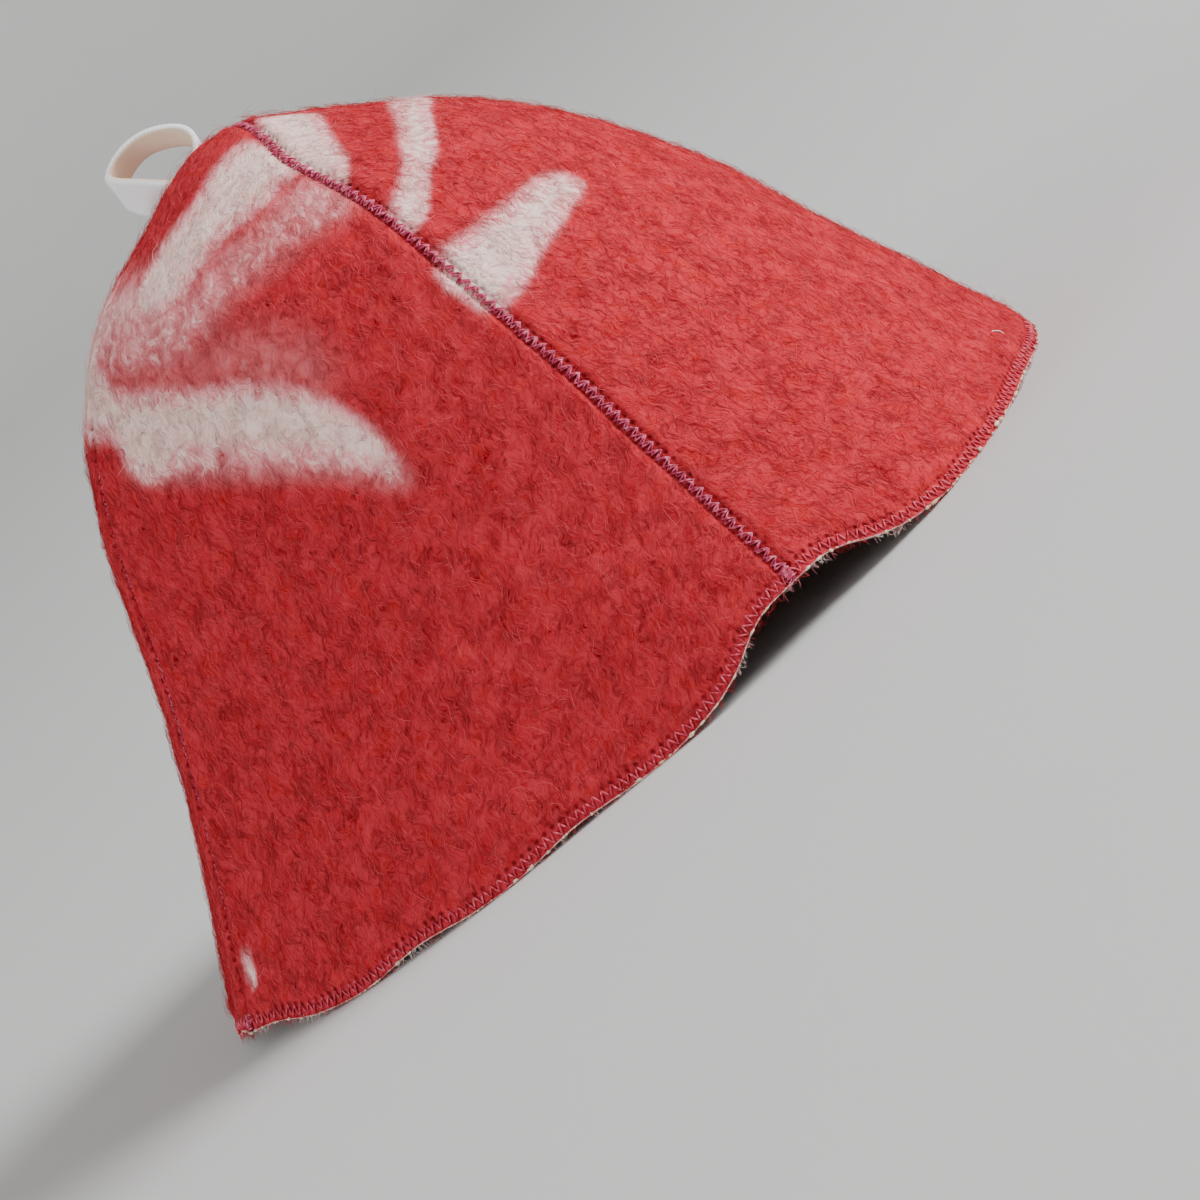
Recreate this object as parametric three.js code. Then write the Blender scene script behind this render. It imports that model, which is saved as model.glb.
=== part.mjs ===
// Sauna hat: four felt gores sewn edge to edge into a bell, and a tape loop on the crown.
// Millimetres. +Z is up, +X is the wearer's front, -Y the wearer's right. The hem rests on Z = 0.
import * as THREE from 'three';

// Driving dimensions
const FELT = 2.5; // thickness of the felt wall
const SEAM_GAP = 0.3; // space between two gores at their butted edges
const TAPE = { width: 13, thickness: 1.6, clear: 0.4 };

// Half sizes of the bell, crown to hem. `middle` is how far forward each section's centre lies.
const SECTIONS = [
  { height: 192.4, middle: 5, length: 0, width: 0 },
  { height: 190.6, middle: 5, length: 11, width: 10 },
  { height: 185, middle: 2.2, length: 24, width: 22 },
  { height: 175, middle: -3, length: 44, width: 40 },
  { height: 155, middle: -1, length: 69.5, width: 61 },
  { height: 130, middle: 1, length: 88, width: 74 },
  { height: 95, middle: 3.2, length: 106, width: 87 },
  { height: 65, middle: 2, length: 119.5, width: 98 },
  { height: 35, middle: 0.5, length: 134, width: 111 },
  { height: 0, middle: -1.5, length: 151, width: 125 },
];

// Seams in degrees from the front towards the wearer's right, and how far the hem is cut back
// at each. A gore lies between two of them.
const SEAMS = [
  { around: -18, cut: 8 },
  { around: 72, cut: 15 },
  { around: 156, cut: 6 },
  { around: 248, cut: 8 },
];
const GORES = ['gore_front', 'gore_right', 'gore_back', 'gore_left'];

// A gore is flatter across than the bell is round, so the seams stand out as soft corners.
// Both reaches are shares of the section's half size.
const BOW = { seam: 1.05, centre: 0.965, startsAt: 0.05, fullAt: 0.42 };

// Where the four gores meet: how far they slide from the crown's centre, and where that fades
// out, as shares of the way to the hem.
const MEETING = { forward: 0.03, left: 0.045, fadesFrom: 0.2, fadesBy: 0.6 };

// A gore's rounded lower corner: `across` is a share of its width, `cut` of the seam's cut.
const HEM_CORNER = [
  { across: 0, cut: 1 },
  { across: 0.05, cut: 0.94 },
  { across: 0.08, cut: 0.78 },
  { across: 0.115, cut: 0.48 },
  { across: 0.15, cut: 0.26 },
  { across: 0.19, cut: 0.12 },
  { across: 0.25, cut: 0 },
];

// Shallow waves where the hem lifts off what it rests on.
const HEM_WAVES = [
  { around: 22, wide: 9, cut: 1.2 },
  { around: 105, wide: 6, cut: 1.8 },
  { around: 127, wide: 6, cut: 2.2 },
  { around: 205, wide: 8, cut: 1.6 },
  { around: 296, wide: 9, cut: 1.8 },
];

// Soft dents (out < 0) and bulges, with their half sizes in degrees and millimetres.
const FOLDS = [
  { around: 96, height: 8, wide: 12, tall: 28, out: -3.5 },
  { around: 132, height: 4, wide: 20, tall: 34, out: 3 },
  { around: 45, height: 10, wide: 20, tall: 40, out: 2 },
  { around: 172, height: 60, wide: 12, tall: 40, out: -2 },
  { around: 235, height: 12, wide: 16, tall: 30, out: -3 },
  { around: 300, height: 10, wide: 20, tall: 34, out: 3 },
  { around: 335, height: 20, wide: 14, tall: 36, out: -2.5 },
];
const FOLDS_START = { from: 0.2, full: 0.5 };

// The loop's route: the tape's near edge in a plane that leans to the left, from its sewn base,
// and how far the far edge lies below and behind it. The root is a place on the flat disc.
const LOOP_ROOT = { forward: -0.052, left: 0.015, lean: 45, freeAbove: 10 };
const LOOP = [
  { forward: -2.5, up: 0, drop: 6, back: 0 },
  { forward: 2.5, up: 0.6, drop: 6, back: 0 },
  { forward: 5.8, up: 6.5, drop: 6, back: 0 },
  { forward: 4.2, up: 13, drop: 6, back: 1 },
  { forward: -3.9, up: 21, drop: 6.2, back: 1.5 },
  { forward: -12, up: 24.5, drop: 7.5, back: 1 },
  { forward: -17.8, up: 23.5, drop: 8.8, back: 0 },
  { forward: -16.8, up: 19, drop: 8.5, back: 2 },
  { forward: -12.4, up: 11.1, drop: 8.2, back: 4.5 },
  { forward: -8.2, up: 3.3, drop: 8, back: 4 },
  { forward: -6, up: 0.4, drop: 7, back: 2 },
];

// Moves the middle of the hem to the origin.
const CENTRED = { forward: 0.85, left: -0.81 };

// The mesh grid
const ROWS = 22;
const RESTS_UNDER = 0.15; // a smaller cut leaves the hem flat
const COLUMNS = [
  0, 0.03, 0.06, 0.1, 0.14, 0.19, 0.26, 0.34, 0.42, 0.5,
  0.58, 0.66, 0.74, 0.81, 0.86, 0.9, 0.94, 0.97, 1,
];
const LOOP_STEPS = 36;
const LOOP_BREADTHS = [0, 0.5, 1];
const STEP = 1e-3; // for slopes, as a share of the disc

const FELT_LOOK = { color: 0xc0393d, roughness: 0.95, metalness: 0 };
const TAPE_LOOK = { color: 0xe6e4df, roughness: 0.8, metalness: 0 };

const radians = THREE.MathUtils.degToRad;
const degrees = THREE.MathUtils.radToDeg;

// Sections placed by their distance down the felt, with one mirrored row so the crown is round.
function bellSections() {
  let down = 0;
  const placed = SECTIONS.map((row, i) => {
    const above = SECTIONS[Math.max(i - 1, 0)];
    down += Math.hypot(row.length - above.length, row.height - above.height);
    return { ...row, down };
  });
  const first = placed[1];
  const mirrored = { ...first, down: -first.down, length: -first.length, width: -first.width };
  return [mirrored, ...placed];
}

const BELL = bellSections();
const GORE_LENGTH = BELL[BELL.length - 1].down;

function columnsOf(rows, key, names) {
  const keys = rows.map((row) => row[key]);
  const values = rows.flatMap((row) => names.map((name) => row[name]));
  return new THREE.CubicInterpolant(keys, values, names.length);
}

const sectionAt = columnsOf(BELL, 'down', ['height', 'middle', 'length', 'width']);

// Which gore lies at `around`, and the angles of its two seams.
function goreSeams(gore) {
  const from = SEAMS[gore].around;
  const to = gore + 1 < SEAMS.length ? SEAMS[gore + 1].around : SEAMS[0].around + 360;
  return { from, to };
}

function goreOf(around) {
  const turned = THREE.MathUtils.euclideanModulo(around - SEAMS[0].around, 360) + SEAMS[0].around;
  const gore = SEAMS.filter((seam) => seam.around <= turned).length - 1;
  const { from, to } = goreSeams(gore);
  return { fromCentre: turned - (from + to) / 2, half: (to - from) / 2 };
}

// How far a gore's arc reaches at `fromCentre` degrees, as a share of the half size.
function bowReach({ fromCentre, half: halfSpan }, fade) {
  const centre = THREE.MathUtils.lerp(1, BOW.centre, fade);
  const seam = THREE.MathUtils.lerp(1, BOW.seam, fade);
  const half = radians(halfSpan);
  const chord = seam * Math.sin(half);
  const rise = centre - seam * Math.cos(half);
  const arc = (chord * chord + rise * rise) / (2 * rise);
  const back = arc - centre;
  const turn = radians(fromCentre);
  return Math.sqrt(arc * arc - (back * Math.sin(turn)) ** 2) - back * Math.cos(turn);
}

function foldsAt(around, height) {
  return FOLDS.reduce((sum, fold) => {
    const turned = THREE.MathUtils.euclideanModulo(around - fold.around + 180, 360) - 180;
    const a = turned / fold.wide;
    const b = (height - fold.height) / fold.tall;
    return sum + fold.out * Math.exp(-a * a - b * b);
  }, 0);
}

// The outer face of the felt, over a flat disc: the gores meet at its centre, the hem is its rim.
function feltPoint(forward, right) {
  const share = Math.hypot(forward, right);
  const around = degrees(Math.atan2(right, forward));
  const slide = 1 - THREE.MathUtils.smoothstep(share, MEETING.fadesFrom, MEETING.fadesBy);
  const ahead = forward + slide * MEETING.forward;
  const aside = right - slide * MEETING.left;
  const [height, middle, length, width] = sectionAt.evaluate(Math.hypot(ahead, aside) * GORE_LENGTH);
  const turn = Math.atan2(aside, ahead);
  const bow = bowReach(goreOf(around), THREE.MathUtils.smoothstep(share, BOW.startsAt, BOW.fullAt));
  const start = THREE.MathUtils.smoothstep(share, FOLDS_START.from, FOLDS_START.full);
  const fold = foldsAt(around, height) * start;
  const x = middle + (length * bow + fold) * Math.cos(turn);
  const y = -(width * bow + fold) * Math.sin(turn);
  return new THREE.Vector3(x, y, height);
}

function feltFrame(forward, right) {
  const point = feltPoint(forward, right);
  const ahead = feltPoint(forward + STEP, right).sub(feltPoint(forward - STEP, right));
  const across = feltPoint(forward, right + STEP).sub(feltPoint(forward, right - STEP));
  const normal = across.cross(ahead).normalize();
  return { point, normal };
}

// The felt's place and slope, `share` of the way down from the meeting point to the hem.
function feltDown(around, share) {
  return feltFrame(share * Math.cos(radians(around)), share * Math.sin(radians(around)));
}

const cornerAt = columnsOf(HEM_CORNER, 'across', ['cut']);

// How far the hem is cut back along the felt, `across` a gore.
function hemCut(gore, across) {
  const { from, to } = goreSeams(gore);
  const around = THREE.MathUtils.lerp(from, to, across);
  const waves = HEM_WAVES.reduce((sum, wave) => {
    const turned = THREE.MathUtils.euclideanModulo(around - wave.around + 180, 360) - 180;
    return sum + wave.cut * Math.exp(-((turned / wave.wide) ** 2));
  }, 0);
  const seam = SEAMS[(across < 0.5 ? gore : gore + 1) % SEAMS.length];
  const fromSeam = Math.min(across, 1 - across);
  const outermost = HEM_CORNER[HEM_CORNER.length - 1].across;
  const corner = fromSeam < outermost ? Math.max(0, cornerAt.evaluate(fromSeam)[0]) : 0;
  const cut = Math.max(seam.cut * corner, waves);
  return cut < RESTS_UNDER ? 0 : cut;
}

// The outer and inner point of a gore's wall, `across` it and in one row of the grid.
function wallAt(gore, across, row) {
  const { from, to } = goreSeams(gore);
  const around = THREE.MathUtils.lerp(from, to, across);
  const share = (row / ROWS) * (1 - hemCut(gore, across) / GORE_LENGTH);
  const { point, normal } = feltDown(around, share);
  if (across === 0 || across === 1) {
    const beside = feltDown(around + 1 - 2 * across, share).point;
    point.addScaledVector(beside.sub(point).normalize(), SEAM_GAP / 2);
  }
  const inward = normal.clone().multiplyScalar(-FELT);
  if (row === ROWS) {
    const level = Math.hypot(normal.x, normal.y);
    inward.set(-normal.x, -normal.y, 0).multiplyScalar(FELT / level / level);
  }
  return [point, point.clone().add(inward)];
}

// The gore's tip, where its two seam edges cross.
function tipAt(gore) {
  const { from, to } = goreSeams(gore);
  const inset = SEAM_GAP / 2 / Math.sin(radians((to - from) / 2)) / GORE_LENGTH;
  const { point, normal } = feltDown((from + to) / 2, inset);
  return [point, point.clone().addScaledVector(normal, -FELT)];
}

// A closed solid from an outer and an inner skin, joined along both seams and the hem.
function goreGeometry(gore) {
  const vertices = tipAt(gore).flatMap((p) => p.toArray());
  const index = (row, column, side) => 2 + ((row - 1) * COLUMNS.length + column) * 2 + side;
  for (let row = 1; row <= ROWS; row++) {
    for (const across of COLUMNS) {
      for (const point of wallAt(gore, across, row)) vertices.push(...point.toArray());
    }
  }
  const faces = [];
  const quad = (a, b, c, d) => faces.push(a, b, c, a, c, d);
  const last = COLUMNS.length - 1;
  for (let column = 0; column < last; column++) {
    faces.push(0, index(1, column + 1, 0), index(1, column, 0));
    faces.push(1, index(1, column, 1), index(1, column + 1, 1));
    for (let row = 1; row < ROWS; row++) {
      const corners = [[row, column], [row, column + 1], [row + 1, column + 1], [row + 1, column]];
      quad(...corners.map(([r, c]) => index(r, c, 0)));
      quad(...corners.map(([r, c]) => index(r, c, 1)).reverse());
    }
    const hem = [[column, 0], [column + 1, 0], [column + 1, 1], [column, 1]];
    quad(...hem.map(([c, side]) => index(ROWS, c, side)));
  }
  faces.push(0, index(1, 0, 0), index(1, 0, 1), 0, index(1, 0, 1), 1);
  faces.push(0, index(1, last, 1), index(1, last, 0), 0, 1, index(1, last, 1));
  for (let row = 1; row < ROWS; row++) {
    quad(index(row, 0, 0), index(row + 1, 0, 0), index(row + 1, 0, 1), index(row, 0, 1));
    quad(index(row, last, 1), index(row + 1, last, 1), index(row + 1, last, 0), index(row, last, 0));
  }
  return solidOf(vertices, faces);
}

function solidOf(vertices, faces) {
  const geometry = new THREE.BufferGeometry();
  geometry.setAttribute('position', new THREE.Float32BufferAttribute(vertices, 3));
  geometry.setIndex(faces);
  return geometry;
}

// A point of the loop: its base follows the crown, and it leans to the left above that.
function loopPoint(forward, up, slant, breadth) {
  const lean = radians(LOOP_ROOT.lean);
  const seat = (q) => {
    const left = LOOP_ROOT.left + (q * TAPE.width) / GORE_LENGTH;
    const { point, normal } = feltFrame(LOOP_ROOT.forward + forward / GORE_LENGTH, -left);
    return point.addScaledVector(normal, TAPE.clear + TAPE.thickness / 2);
  };
  const free = seat(0).addScaledVector(slant, breadth);
  const point = seat(breadth).lerp(free, THREE.MathUtils.smoothstep(up, 0, LOOP_ROOT.freeAbove));
  return point.add(new THREE.Vector3(0, up * Math.sin(lean), up * Math.cos(lean)));
}

const closedCurve = (points) => new THREE.CatmullRomCurve3(points, true, 'centripetal');

// From the tape's near edge to its far edge.
function slantOf({ drop, back }) {
  const left = Math.sqrt(TAPE.width ** 2 - drop ** 2 - back ** 2);
  return new THREE.Vector3(-back, left, -drop);
}

// The tape is a closed band: a ring of sections, each across its breadth, outer and inner face.
function loopGeometry() {
  const route = closedCurve(LOOP.map((row) => new THREE.Vector3(row.forward, row.up, 0)));
  const slants = closedCurve(LOOP.map(slantOf));
  const half = TAPE.thickness / 2;
  const vertices = [];
  for (let step = 0; step < LOOP_STEPS; step++) {
    const t = route.getUtoTmapping(step / LOOP_STEPS);
    const at = route.getPoint(t);
    const along = route.getTangent(t);
    const slant = slants.getPoint(t);
    for (const breadth of LOOP_BREADTHS) {
      for (const side of [half, -half]) {
        const forward = at.x + along.y * side;
        const up = at.y - along.x * side;
        vertices.push(...loopPoint(forward, up, slant, breadth).toArray());
      }
    }
  }
  const rows = LOOP_BREADTHS.length;
  const index = (step, breadth, side) => ((step % LOOP_STEPS) * rows + breadth) * 2 + side;
  const faces = [];
  const quad = (a, b, c, d) => faces.push(a, b, c, a, c, d);
  for (let step = 0; step < LOOP_STEPS; step++) {
    const next = step + 1;
    for (let q = 0; q < rows - 1; q++) {
      quad(index(next, q, 0), index(step, q, 0), index(step, q + 1, 0), index(next, q + 1, 0));
      quad(index(step, q, 1), index(next, q, 1), index(next, q + 1, 1), index(step, q + 1, 1));
    }
    const far = rows - 1;
    quad(index(next, 0, 1), index(step, 0, 1), index(step, 0, 0), index(next, 0, 0));
    quad(index(next, far, 0), index(step, far, 0), index(step, far, 1), index(next, far, 1));
  }
  return solidOf(vertices, faces);
}

const hat = new THREE.Group();
hat.position.set(CENTRED.forward, CENTRED.left, 0);
function addPiece(name, geometry, look) {
  const mesh = new THREE.Mesh(geometry, new THREE.MeshStandardMaterial(look));
  mesh.name = name;
  hat.add(mesh);
}
GORES.forEach((name, gore) => addPiece(name, goreGeometry(gore), FELT_LOOK));
addPiece('hanging_loop', loopGeometry(), TAPE_LOOK);

export default hat;
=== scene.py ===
"""Sauna hat: four gores of brushed wool felt sewn edge to edge into a bell, with a tape loop.

Tables are in millimetres and degrees, and meshes in metres. +Z is up, +X is the wearer's front
and -Y the wearer's right. Angles run from the front towards the right.
"""
import math

import bmesh
import bpy
import numpy as np
from mathutils import Matrix, Vector, noise


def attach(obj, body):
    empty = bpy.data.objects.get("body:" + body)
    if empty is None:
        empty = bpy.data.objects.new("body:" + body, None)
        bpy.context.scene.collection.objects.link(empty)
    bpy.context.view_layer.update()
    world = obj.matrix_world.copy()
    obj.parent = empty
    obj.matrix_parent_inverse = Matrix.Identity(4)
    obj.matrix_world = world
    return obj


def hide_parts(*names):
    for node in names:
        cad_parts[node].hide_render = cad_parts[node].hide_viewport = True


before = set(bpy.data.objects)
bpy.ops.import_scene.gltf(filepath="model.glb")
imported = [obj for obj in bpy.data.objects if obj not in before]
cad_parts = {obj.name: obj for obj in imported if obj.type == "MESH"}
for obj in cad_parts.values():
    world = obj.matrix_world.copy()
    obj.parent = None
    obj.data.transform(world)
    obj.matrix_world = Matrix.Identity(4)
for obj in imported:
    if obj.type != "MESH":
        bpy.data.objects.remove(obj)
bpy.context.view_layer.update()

MM = 0.001

# ---- The felt's form, as the solids have it ----
FELT = 2.5
CENTRED = (0.85, -0.81)

# Half sizes of the bell, crown to hem: height, middle, length, width.
SECTIONS = [
    (192.4, 5, 0, 0), (190.6, 5, 11, 10), (185, 2.2, 24, 22), (175, -3, 44, 40),
    (155, -1, 69.5, 61), (130, 1, 88, 74), (95, 3.2, 106, 87), (65, 2, 119.5, 98),
    (35, 0.5, 134, 111), (0, -1.5, 151, 125),
]

# Seams: around, how far the hem is cut back there. A gore lies between each two.
SEAMS = [(-18, 8), (72, 15), (156, 6), (248, 8)]
SEAM_TURNS = np.array([around for around, _ in SEAMS] + [SEAMS[0][0] + 360])
GORES = ["gore_front", "gore_right", "gore_back", "gore_left"]

# A gore is flatter across than the bell is round. Reaches are shares of the half size.
BOW_SEAM, BOW_CENTRE, BOW_STARTS, BOW_FULL = 1.05, 0.965, 0.05, 0.42

# Where the gores meet, and where that slide fades out, as shares of the way to the hem.
MEETING_FORWARD, MEETING_LEFT, MEETING_FADES, MEETING_ENDS = 0.03, 0.045, 0.2, 0.6

# A gore's rounded lower corner: share of its width, share of the seam's cut.
HEM_CORNER = [(0, 1), (0.05, 0.94), (0.08, 0.78), (0.115, 0.48), (0.15, 0.26), (0.19, 0.12), (0.25, 0)]

# Shallow waves of the hem: around, wide, cut.
HEM_WAVES = [(22, 9, 1.2), (105, 6, 1.8), (127, 6, 2.2), (205, 8, 1.6), (296, 9, 1.8)]
RESTS_UNDER = 0.15

# Soft dents and bulges: around, height, wide, tall, out.
FOLDS = [
    (96, 8, 12, 28, -3.5), (132, 4, 20, 34, 3), (45, 10, 20, 40, 2), (172, 60, 12, 40, -2),
    (235, 12, 16, 30, -3), (300, 10, 20, 34, 3), (335, 20, 14, 36, -2.5),
]
FOLDS_START, FOLDS_FULL = 0.2, 0.5
STEP = 1e-3


def cubic_through(rows, keys):
    """The solids' own interpolation: a cubic through each row's values, natural at both ends."""
    rows, keys = np.asarray(rows, float), np.asarray(keys, float)
    slopes = np.diff(rows, axis=0) / np.diff(keys)[:, None]
    slopes = np.vstack([slopes[:1], (slopes[1:] + slopes[:-1]) / 2, slopes[-1:]])

    def at(key):
        key = np.clip(np.asarray(key, float), keys[0], keys[-1])
        i = np.clip(np.searchsorted(keys, key, side="right"), 1, len(keys) - 1) - 1
        span = (keys[i + 1] - keys[i])[..., None]
        p = (key - keys[i])[..., None] / span
        square, cube = p * p, p * p * p
        ends = (2 * cube - 3 * square + 1) * rows[i] + (3 * square - 2 * cube) * rows[i + 1]
        return ends + span * ((cube - 2 * square + p) * slopes[i] + (cube - square) * slopes[i + 1])

    return at


def bell_sections():
    """Sections by their distance down the felt, one mirrored so that the crown is round."""
    rows = np.array(SECTIONS, float)
    steps = np.hypot(np.diff(rows[:, 2]), np.diff(rows[:, 0]))
    down = np.concatenate([[0], np.cumsum(steps)])
    mirrored = rows[1] * (1, 1, -1, -1)
    return np.vstack([mirrored, rows]), np.concatenate([[-down[1]], down])


BELL, BELL_DOWN = bell_sections()
GORE_LENGTH = BELL_DOWN[-1]
section_at = cubic_through(BELL, BELL_DOWN)
corner_at = cubic_through([[cut] for _, cut in HEM_CORNER], [across for across, _ in HEM_CORNER])


def smooth(value, start, end):
    t = np.clip((value - start) / (end - start), 0, 1)
    return t * t * (3 - 2 * t)


def turned_from(around, other):
    return (around - other + 180) % 360 - 180


def gore_seams(gore):
    return SEAM_TURNS[gore:gore + 2]


def bow_reach(around, fade):
    """How far a gore's arc reaches, as a share of the half size."""
    turned = (around - SEAM_TURNS[0]) % 360 + SEAM_TURNS[0]
    gore = np.clip(np.searchsorted(SEAM_TURNS, turned, side="right") - 1, 0, len(GORES) - 1)
    start, end = SEAM_TURNS[gore], SEAM_TURNS[gore + 1]
    half, turn = np.radians((end - start) / 2), np.radians(turned - (start + end) / 2)
    centre = 1 + (BOW_CENTRE - 1) * fade
    seam = 1 + (BOW_SEAM - 1) * fade
    chord = seam * np.sin(half)
    rise = centre - seam * np.cos(half)
    arc = (chord * chord + rise * rise) / (2 * rise)
    back = arc - centre
    return np.sqrt(arc * arc - (back * np.sin(turn)) ** 2) - back * np.cos(turn)


def folds_at(around, height):
    return sum(
        out * np.exp(-(turned_from(around, at) / wide) ** 2 - ((height - level) / tall) ** 2)
        for at, level, wide, tall, out in FOLDS
    )


def felt_point(forward, right):
    """The outer face over a flat disc: the gores meet at its centre, the hem is its rim."""
    share = np.hypot(forward, right)
    around = np.degrees(np.arctan2(right, forward))
    slide = 1 - smooth(share, MEETING_FADES, MEETING_ENDS)
    ahead = forward + slide * MEETING_FORWARD
    aside = right - slide * MEETING_LEFT
    section = section_at(np.hypot(ahead, aside) * GORE_LENGTH)
    height, middle, length, width = np.moveaxis(section, -1, 0)
    turn = np.arctan2(aside, ahead)
    bow = bow_reach(around, smooth(share, BOW_STARTS, BOW_FULL))
    fold = folds_at(around, height) * smooth(share, FOLDS_START, FOLDS_FULL)
    x = middle + (length * bow + fold) * np.cos(turn)
    y = -(width * bow + fold) * np.sin(turn)
    return np.stack([x + CENTRED[0], y + CENTRED[1], height], -1)


def unit(vectors):
    return vectors / np.maximum(np.linalg.norm(vectors, axis=-1, keepdims=True), 1e-12)


def felt_frame(forward, right):
    point = felt_point(forward, right)
    ahead = felt_point(forward + STEP, right) - felt_point(forward - STEP, right)
    across = felt_point(forward, right + STEP) - felt_point(forward, right - STEP)
    return point, unit(np.cross(across, ahead))


def felt_down(around, share):
    """The felt's place and normal, `share` of the way down from the meeting point."""
    around, share = np.broadcast_arrays(np.radians(around), share)
    return felt_frame(share * np.cos(around), share * np.sin(around))


def hem_cut(gore, across):
    """How far the hem is cut back along the felt, `across` a gore."""
    start, end = gore_seams(gore)
    around = start + (end - start) * across
    waves = sum(cut * np.exp(-(turned_from(around, at) / wide) ** 2) for at, wide, cut in HEM_WAVES)
    seam_cuts = [cut for _, cut in SEAMS]
    seam = np.where(across < 0.5, seam_cuts[gore], seam_cuts[(gore + 1) % len(SEAMS)])
    corner = np.maximum(corner_at(np.minimum(across, 1 - across))[..., 0], 0)
    cut = np.maximum(seam * corner, waves)
    return np.where(cut < RESTS_UNDER, 0, cut)


# ---- Petals: pale patches in the felt, each on one gore ----
# Cover is 1 for ivory, and less lets the red through. Then come how softly the edge fades, and
# the outline as (around, down).
PETALS = {
    "gore_front": [
        (1, 2.4, [(66, 30), (50, 25), (38, 36), (51, 48), (59, 58), (65, 68), (73, 75), (78, 67),
            (77, 56), (75, 42)]),
        (1, 1.7, [(-20, 51), (6, 58), (38, 70), (50, 79), (57, 86), (62, 90), (67, 94), (72, 97),
            (70, 100), (66, 98), (62, 94), (57, 89), (50, 85), (36, 74), (3, 64), (-16, 57)]),
        (1, 2.6, [(78, 115), (68, 115), (63, 116), (58, 116), (54, 117), (48, 117.5), (42, 118),
            (39, 120), (38, 122), (42, 123), (47, 124), (51, 125), (56, 126), (61, 128), (66, 130),
            (78, 132)]),
    ],
    "gore_right": [
        (0.75, 1.6, [(66, 115), (73.6, 117), (74.2, 120), (73.8, 126), (73, 129), (66, 130)]),
        (1, 3.6, [(75, 58), (77, 43), (84, 37.5), (92, 37.5), (98, 39.5), (104, 42.5), (108, 46.5),
            (113, 49.5), (118, 51), (122, 53), (126, 57), (130, 61), (134, 66), (128, 71), (120, 71),
            (115, 69.5), (109, 66), (105, 64), (100, 62.5), (95, 62.5), (90, 62), (85, 61), (81, 59)]),
        (0.5, 4, [(124, 67), (128, 71), (135, 72), (143, 71), (151, 70), (162, 72), (163, 61),
            (157, 57), (146, 56), (133, 59)]),
        (0.42, 2.6, [(75, 82), (78, 84), (85, 82), (90, 81), (96, 80), (106, 81), (112, 82), (117, 84),
            (120, 82), (119, 79), (113, 78), (107, 77), (100, 78), (94, 78), (84, 79), (77, 80)]),
        (0.95, 2.6, [(160, 76), (149, 80), (146, 86), (140, 91), (135, 94), (127, 99), (121, 104),
            (115, 107), (110, 112), (105, 118), (103, 122), (101, 127), (100, 132), (99, 137),
            (99, 143), (100, 147), (101, 145), (102, 141), (104, 137), (106, 132), (109, 128),
            (112, 125), (116, 121), (121, 116), (126, 112), (130, 110), (134, 110), (138, 110),
            (142, 107), (144, 103), (146, 97), (150, 92), (160, 90)]),
        (0.36, 3, [(146, 102), (142, 109), (130, 117), (119, 126), (110, 135), (105, 142), (100, 151),
            (98, 147), (103, 134), (117, 117), (137, 101)]),
        (0.34, 6, [(166, 52), (150, 52), (136, 57), (124, 68), (112, 74), (104, 80), (112, 88),
            (118, 90), (126, 90), (134, 86), (144, 82), (154, 78), (166, 76)]),
        (0.32, 5, [(71, 70), (74, 83), (82, 84), (95, 84), (107, 85), (118, 85), (124, 75), (106, 70),
            (92, 70), (80, 66)]),
        (0.22, 7, [(152, 82), (130, 84), (110, 92), (98, 104), (96, 116), (102, 120), (112, 108),
            (126, 99), (140, 90), (152, 86)]),
        (0.9, 0.7, [(153.8, 232.4), (153.1, 232.8), (152.7, 234.4), (152.6, 236), (152.8, 238),
            (153.2, 239.6), (153.6, 238), (153.8, 236), (153.9, 234)]),
    ],
    "gore_back": [
        (0.9, 3, [(152, 72), (170, 68), (186, 76), (194, 90), (186, 94), (172, 88), (152, 90)]),
        (0.55, 4, [(150, 56), (166, 52), (180, 58), (186, 70), (172, 74), (152, 74)]),
        (1, 2.5, [(190, 38), (214, 34), (236, 40), (252, 50), (252, 64), (238, 62), (216, 52),
            (196, 50)]),
        (0.95, 2.5, [(206, 96), (212, 92), (222, 104), (232, 122), (240, 142), (236, 146), (222, 132),
            (210, 114)]),
        (0.55, 4, [(176, 112), (186, 104), (200, 112), (214, 130), (206, 136), (190, 124)]),
    ],
    "gore_left": [
        (1, 2.5, [(242, 36), (252, 28), (272, 27), (290, 34), (302, 46), (292, 54), (270, 46),
            (246, 48)]),
        (0.95, 2.2, [(262, 86), (276, 79), (296, 84), (318, 98), (330, 112), (322, 118), (300, 106),
            (276, 98)]),
        (0.56, 4, [(284, 62), (304, 58), (326, 68), (344, 78), (338, 90), (316, 82), (294, 74)]),
        (0.95, 1.2, [(326, 46), (346, 48), (346, 58), (328, 56)]),
    ],
}
OUTLINE_STEPS = 6
PETAL_FADE = 3


def closed_spline(points, steps):
    """A smooth closed line through a few points (Catmull-Rom)."""
    points = np.asarray(points, float)
    p, a, b, n = (np.roll(points, shift, axis=0)[:, None] for shift in (0, 1, -1, -2))
    t = (np.arange(steps) / steps)[:, None]
    line = 0.5 * (2 * p + (b - a) * t + (2 * a - 5 * p + 4 * b - n) * t**2
                  + (3 * p - a - 3 * b + n) * t**3)
    return line.reshape(-1, points.shape[-1])


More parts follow.
